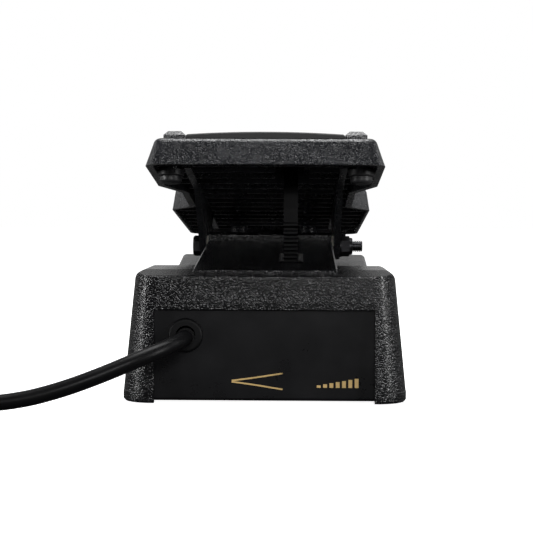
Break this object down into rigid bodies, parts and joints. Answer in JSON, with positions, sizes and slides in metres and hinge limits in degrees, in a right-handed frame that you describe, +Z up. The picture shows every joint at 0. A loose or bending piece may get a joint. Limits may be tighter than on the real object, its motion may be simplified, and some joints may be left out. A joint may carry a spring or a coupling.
{
  "type": "expression pedal",
  "caption": "Rocking foot pedal: ribbed treadle on a cross bolt drives a potentiometer through a toothed strap, on a low drafted housing with a captive lead and phone plug.",
  "frame": {"origin": "on the floor under the middle of the housing, free lead and plug left out", "axes": "+X across to the nut end of the pivot bolt, -Y to the toe end where the lead comes out, +Y to the heel end, +Z up"},
  "size_m": [0.262, 0.2894, 0.1015],
  "materials": {
    "housing_plastic": "pebbled black moulding",
    "treadle_plastic": "pebbled black moulding",
    "panel_steel": "smooth satin black paint",
    "mat_rubber": "ribbed black rubber",
    "bumper_rubber": "soft black rubber",
    "black_steel": "black oxide",
    "zinc_steel": "bright zinc",
    "bush_nylon": "natural nylon",
    "gear_nylon": "black nylon, slightly shiny",
    "shaft_alloy": "turned",
    "contact_brass": "plated",
    "phenolic": "brown laminate",
    "wire_pvc": "thin insulation",
    "lead_pvc": "smooth black jacket",
    "tie_nylon": "hook and loop or nylon strap",
    "plug_plastic": "moulded grip",
    "plug_nickel": "nickel plated"
  },
  "bodies": {
    "housing": {"base_shell": "housing_plastic", "bottom_plate": "panel_steel", "foot_front_left": "bumper_rubber", "foot_front_right": "bumper_rubber", "foot_rear_left": "bumper_rubber", "foot_rear_right": "bumper_rubber", "cable_grommet": "bumper_rubber", "bottom_plate_screws": "zinc_steel", "bracket_screws": "zinc_steel", "pot_bracket": "zinc_steel", "pot_washer": "zinc_steel", "pot_nut": "zinc_steel", "pot_case": "zinc_steel", "pivot_bush_left": "bush_nylon", "pivot_bush_right": "bush_nylon", "pot_bushing": "shaft_alloy", "pot_terminals": "contact_brass", "pot_wafer": "phenolic", "pot_wires": "wire_pvc", "lead_run": "lead_pvc", "lead_coil": "lead_pvc", "lead_tail": "lead_pvc", "plug_boot": "lead_pvc", "lead_tie": "tie_nylon", "coil_tie_front": "tie_nylon", "coil_tie_back": "tie_nylon", "plug_grip": "plug_plastic", "plug_insulators": "plug_plastic", "plug_sleeve": "plug_nickel", "plug_ring": "plug_nickel", "plug_tip": "plug_nickel"},
    "treadle": {"treadle_plate": "treadle_plastic", "tread_mat": "mat_rubber", "toe_bumper_left": "bumper_rubber", "toe_bumper_right": "bumper_rubber", "heel_bumper_left": "bumper_rubber", "heel_bumper_right": "bumper_rubber", "gear_strap": "gear_nylon", "strap_screws": "zinc_steel", "pivot_bolt": "black_steel", "pivot_nut": "black_steel", "pivot_washer": "black_steel"},
    "pot_rotor": {"pinion_gear": "gear_nylon", "pinion_set_screw": "zinc_steel", "pot_shaft": "shaft_alloy", "pot_wiper": "contact_brass"}
  },
  "joints": [
    {"name": "treadle_rock", "type": "hinge", "parent": "housing", "child": "treadle", "pos_m": [0, 0, 0.0555], "axis": [1, 0, 0], "range_deg": [0, 17]},
    {"name": "pot_shaft_turn", "type": "hinge", "parent": "housing", "child": "pot_rotor", "pos_m": [0, -0.09537, 0.03523], "axis": [1, 0, 0], "range_deg": [-238, 0]}
  ],
  "couplings": [
    {"joint": "pot_shaft_turn", "follows": "treadle_rock", "ratio": -14}
  ]
}
